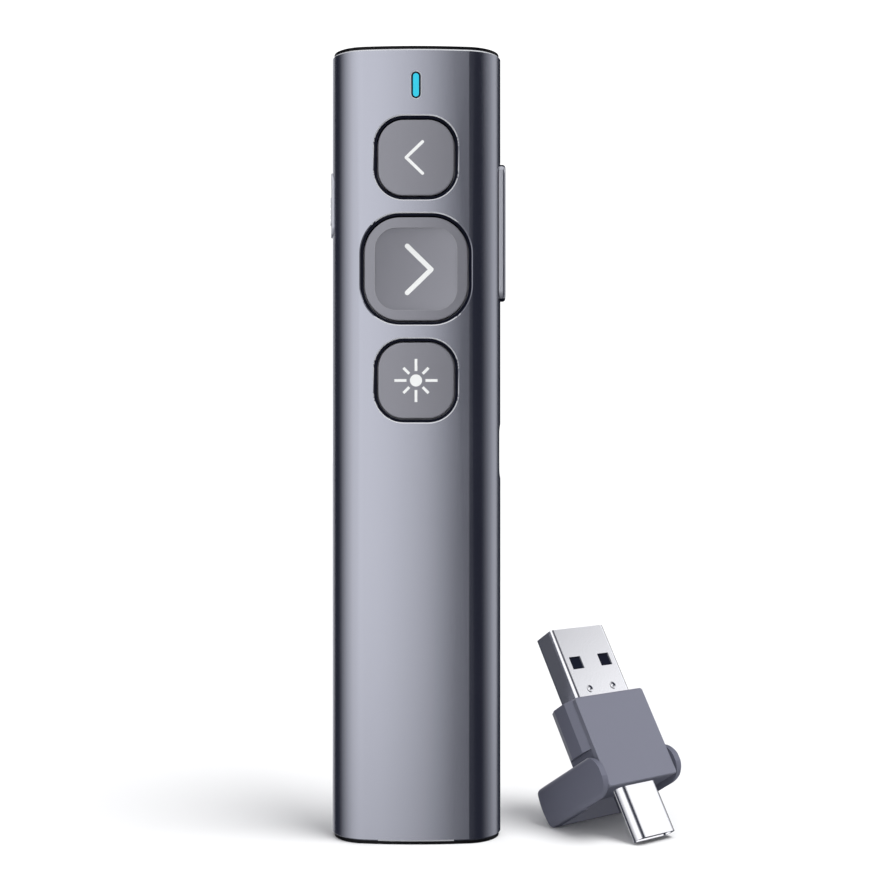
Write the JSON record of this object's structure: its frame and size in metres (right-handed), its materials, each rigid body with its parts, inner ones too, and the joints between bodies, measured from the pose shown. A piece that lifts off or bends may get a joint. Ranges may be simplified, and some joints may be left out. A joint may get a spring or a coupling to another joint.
{
  "type": "wireless presentation clicker",
  "caption": "Slim aluminium presentation clicker with press buttons, laser pointer, side rocker and slide switch, and a dual-plug receiver with a flip guard.",
  "frame": {"origin": "centre of the tail end, at the mouth of the receiver bay", "axes": "+Z from the tail to the laser end, -Y out of the button face, +X to the clicker's right side"},
  "size_m": [0.0574, 0.0241, 0.126],
  "materials": {
    "aluminium": "satin anodised grey",
    "cap_black": "matt black",
    "clear": "clear",
    "black_plastic": "matt black",
    "key_grey": "satin grey",
    "legend": "pale grey",
    "switch_steel": "stamped",
    "switch_plastic": "black",
    "led_cyan": "glowing light pipe",
    "led_white": "resin",
    "board_green": "solder mask",
    "screw_steel": "plain",
    "chip_black": "moulded",
    "chassis_plastic": "moulded",
    "battery_foil": "pouch foil",
    "foam": "foam strip",
    "brass": "turned",
    "diode_steel": "plated can",
    "magnet": "plated",
    "plug_steel": "bright plated",
    "contact_gold": "gold plated",
    "receiver_face": "satin grey",
    "receiver_body": "satin dark grey"
  },
  "bodies": {
    "clicker": {"battery": "battery_foil", "battery_pad": "foam", "bay_magnet": "magnet", "board_screws": "screw_steel", "button_switches": "switch_steel", "charge_chip": "chip_black", "chassis": "chassis_plastic", "front_cap": "cap_black", "keypad_frame": "black_plastic", "laser_barrel": "brass", "laser_diode": "diode_steel", "laser_lens": "clear", "laser_window": "clear", "led_bezel": "black_plastic", "led_chip": "led_white", "led_lens": "led_cyan", "main_board": "board_green", "port_shell": "plug_steel", "port_tongue": "black_plastic", "power_bezel": "black_plastic", "power_switch": "switch_plastic", "radio_chip": "chip_black", "receiver_bay": "black_plastic", "side_switches": "switch_steel", "tail_cap": "cap_black", "tube_shell": "aluminium", "volume_pin": "screw_steel"},
    "prev_key": {"prev_button": "key_grey", "prev_legend": "legend", "prev_stem": "switch_plastic"},
    "next_key": {"next_button": "key_grey", "next_legend": "legend", "next_stem": "switch_plastic"},
    "laser_key": {"laser_button": "key_grey", "laser_legend": "legend", "laser_stem": "switch_plastic"},
    "volume_rocker": {"volume_key": "key_grey"},
    "power_slider": {"power_knob": "key_grey"},
    "receiver": {"receiver_cover": "receiver_face", "receiver_housing": "receiver_body", "usb_a_shell": "plug_steel", "usb_a_tongue": "black_plastic", "usb_a_contacts": "contact_gold", "usb_c_shell": "plug_steel", "usb_c_core": "black_plastic", "receiver_board": "board_green", "receiver_chip": "chip_black", "guard_pins": "screw_steel"},
    "guard": {"flip_guard": "receiver_body"}
  },
  "joints": [
    {"name": "prev_press", "type": "slide", "parent": "clicker", "child": "prev_key", "axis": [0, 1, 0], "range_m": [0, 0.00035], "stiffness_N_per_m": 3000, "springref_m": -0.0001},
    {"name": "next_press", "type": "slide", "parent": "clicker", "child": "next_key", "axis": [0, 1, 0], "range_m": [0, 0.00035], "stiffness_N_per_m": 3000, "springref_m": -0.0001},
    {"name": "laser_press", "type": "slide", "parent": "clicker", "child": "laser_key", "axis": [0, 1, 0], "range_m": [0, 0.00035], "stiffness_N_per_m": 3000, "springref_m": -0.0001},
    {"name": "volume_rock", "type": "hinge", "parent": "clicker", "child": "volume_rocker", "pos_m": [0.0094, 0, 0.0973], "axis": [0, 1, 0], "range_deg": [-2, 2], "stiffness_Nm_per_rad": 0.3},
    {"name": "power_slide", "type": "slide", "parent": "clicker", "child": "power_slider", "axis": [0, 0, 1], "range_m": [0, 0.002]},
    {"name": "receiver_lift", "type": "slide", "parent": "clicker", "child": "receiver", "axis": [0, 0, 1], "range_m": [0, 0.05]},
    {"name": "guard_flip", "type": "hinge", "parent": "receiver", "child": "guard", "pos_m": [0.03412, 0.00078, 0.00954], "axis": [0.7997, 0.6004, 0], "range_deg": [-90, 0]}
  ]
}
